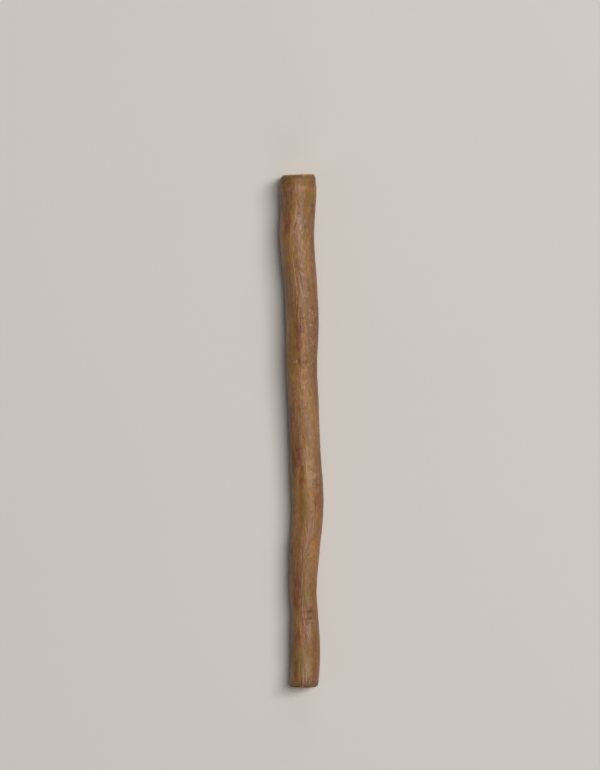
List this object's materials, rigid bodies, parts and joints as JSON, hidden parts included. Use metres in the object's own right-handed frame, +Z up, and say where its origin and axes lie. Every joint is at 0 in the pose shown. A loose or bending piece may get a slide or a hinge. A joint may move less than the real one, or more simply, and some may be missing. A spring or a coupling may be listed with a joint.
{
  "type": "miswak stick",
  "caption": "Short natural root stick with smooth brown bark, gently wandering and tapering, sawn off at both ends; chewed at one end as a toothbrush.",
  "frame": {"origin": "on the surface the stick lies on, under the middle of its bounding box", "axes": "+Y along the stick towards its thick end, +Z up from the surface it lies on, +X to the right as seen from above with the thick end at the top"},
  "size_m": [0.013, 0.1504, 0.0113],
  "materials": {
    "bark": "satin"
  },
  "bodies": {
    "root": {"stick": "bark"}
  },
  "joints": []
}
